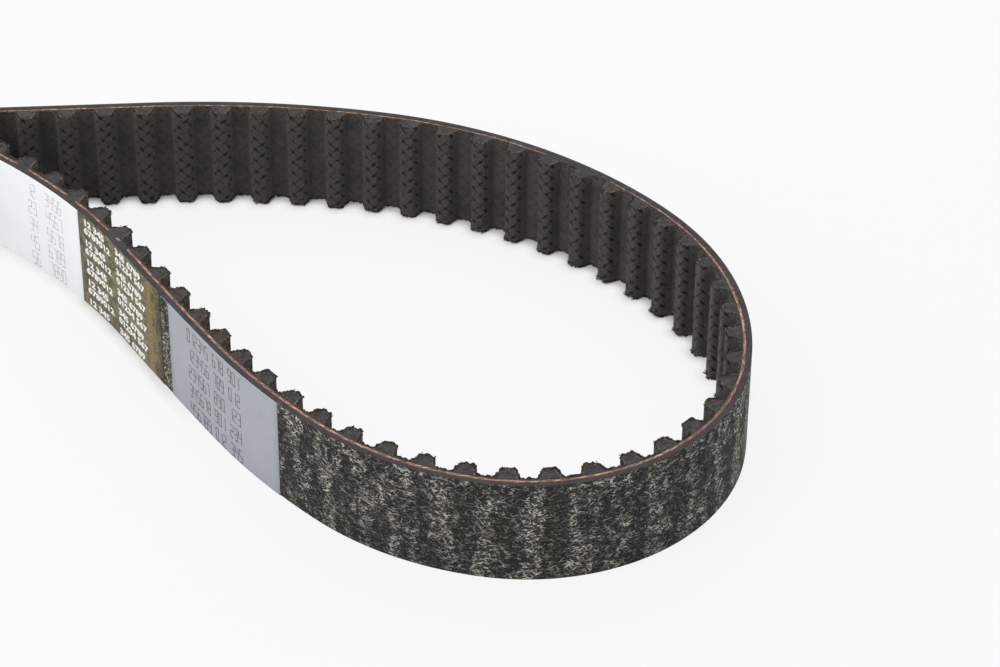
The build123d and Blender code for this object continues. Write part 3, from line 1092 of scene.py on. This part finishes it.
# %% [markdown]
# ## Floor
# The belt stands on a plain white floor. One large square, a hair below the belt's lower edge, is
# enough for it, with a very faint cloud in its paint.

# %% Floor
floor_reach = 3.0
floor_drop = 0.01 * mm
floor_mesh = bmesh.new()
bmesh.ops.create_grid(floor_mesh, x_segments=1, y_segments=1, size=floor_reach)
bmesh.ops.translate(floor_mesh, verts=floor_mesh.verts[:], vec=(0, 0, -floor_drop))
floor_data = bpy.data.meshes.new("floor")
floor_mesh.to_mesh(floor_data)
floor_mesh.free()
floor = bpy.data.objects.new("floor", floor_data)
show(floor)
floor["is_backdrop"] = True
floor_paint, tree, shader = finish("floor_paint", 0.9, gloss=0.0)
cloud = noise(tree, object_point(tree), 0.4, detail=2.0)
colour_it(tree, shader, blend_colours(tree, cloud, (0.79, 0.79, 0.79), (0.81, 0.81, 0.81)))
floor_data.materials.append(floor_paint)
print("floor", [round(side, 2) for side in floor.dimensions], "m")

# %% [markdown]
# ## Floor that only looks backlit
# In a studio the floor is lit from below too, which thins the shadow on it. A lamp under the floor
# would also light the belt, so the floor only looks lit: what the camera sees of it is mostly plain
# white, with a share of the lit paint to keep the shadow. Close to the belt an ambient occlusion node
# takes the white away, which paints a soft contact shade there on top of the paint's own shadow.
# Nearer to the front the white is kept right up to the belt, which is painted light over the shadow.

# %% Floor that only looks backlit
def seen_directly(tree):
    """1 for what the camera sees, straight or in a gloss, and 0 for the light it gives off."""
    ray = node(tree, "ShaderNodeLightPath", {})
    seen = maths(tree, "MAXIMUM", ray.outputs["Is Camera Ray"], ray.outputs["Is Transmission Ray"])
    return maths(tree, "MAXIMUM", seen, ray.outputs["Is Glossy Ray"])


most_glow = 0.87
contact_shade_reach = 3.0 * mm
glow = node(tree, "ShaderNodeEmission", {"Color": (0.975, 0.97, 0.975, 1.0), "Strength": 1.0})
# Painted contact shade: ambient occlusion takes the white glow away close to the belt, so the floor darkens
# there.
contact_shade_ao = node(tree, "ShaderNodeAmbientOcclusion", {"Distance": contact_shade_reach}, samples=8)
glow_share = fade(tree, contact_shade_ao.outputs["AO"], 0.46, 0.98, smooth=False)
# Painted light: towards the front the glow stays right up to the belt and covers the shadow there.
shadow_painted_out_in_front = fade(tree, coordinates(tree, object_point(tree))[1], 15.0 * mm, -20.0 * mm)
glow_share = maths(tree, "MAXIMUM", glow_share, shadow_painted_out_in_front)
glow_share = maths(tree, "MULTIPLY", glow_share, most_glow)
share = maths(tree, "MULTIPLY", seen_directly(tree), glow_share)
both = node(tree, "ShaderNodeMixShader", {0: share, 1: shader.outputs[0], 2: glow.outputs[0]})
tree.links.new(both.outputs[0], tree.nodes["Material Output"].inputs["Surface"])
print("the floor glows by", most_glow, "where nothing blocks it")

# %% [markdown]
# ## Light
# A wide soft lamp behind and above the belt lets the shadows fall towards the viewer, and a second
# one at the left brings out the teeth. An even pale sky fills the rest. Small hard lamps would
# make the black rubber glitter, and soft ones show its fibres and weave instead.

# %% Light
world = bpy.data.worlds.new("sky")
bpy.context.scene.world = world
world.use_nodes = True
tree = world.node_tree
background = tree.nodes["Background"]
background.inputs["Color"].default_value = (0.98, 0.985, 1.0, 1.0)
sky_strength = maths(tree, "MULTIPLY_ADD", seen_directly(tree), 0.2, 0.8)
tree.links.new(sky_strength, background.inputs["Strength"])


def softbox(name, place, power, width, depth):
    """A soft lamp of that size that shines on the belt from a place."""
    data = bpy.data.lights.new(name, "AREA")
    data.shape = "RECTANGLE"
    data.size = width
    data.size_y = depth
    data.energy = power
    lamp = bpy.data.objects.new(name, data)
    show(lamp)
    lamp.location = place
    lamp.rotation_euler = (-Vector(place)).to_track_quat("-Z", "Y").to_euler()
    print(name, power, "W at", round(Vector(place).length, 2), "m")


softbox("rear_softbox", (0.05, 0.60, 0.75), 3.0, 0.9, 0.5)
softbox("left_softbox", (-0.60, -0.45, 0.80), 4.5, 0.6, 0.6)

# %% [markdown]
# ## Camera
# A long lens from the front and above keeps the loop's shape free of strong perspective. The camera
# is turned about the upright, tipped down from level and rolled a little about its own view.

# %% Camera
camera_place = Vector((0.08020, -0.54208, 0.41392))
turn_angle, down_angle, roll_angle = -4.41, 36.773, 0.528
camera_data = bpy.data.cameras.new("camera")
camera_data.lens = 124.617
camera_data.sensor_width = 36.0
camera = bpy.data.objects.new("camera", camera_data)
show(camera)
turned = Matrix.Rotation(math.radians(turn_angle), 4, "Z")
tilted = Matrix.Rotation(math.radians(90 - down_angle), 4, "X")
rolled = Matrix.Rotation(math.radians(roll_angle), 4, "Z")
camera.matrix_world = Matrix.Translation(camera_place) @ turned @ tilted @ rolled
bpy.context.scene.camera = camera
bpy.context.scene.view_settings.view_transform = "Standard"
print("camera", round(camera_place.length, 2), "m away, looking", down_angle, "degrees down")

# %% [markdown]
# ## Sizes and finish
# The dressed belt has to keep the size of its solids, so both boxes are put next to each other in
# one table, and the visual one is printed.

# %% Sizes and finish
size = {"cad": [list(corner) for corner in cad_box], "visual": [list(corner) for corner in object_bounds()]}
print("visual box", [round(n * 1000, 2) for corner in size["visual"] for n in corner])
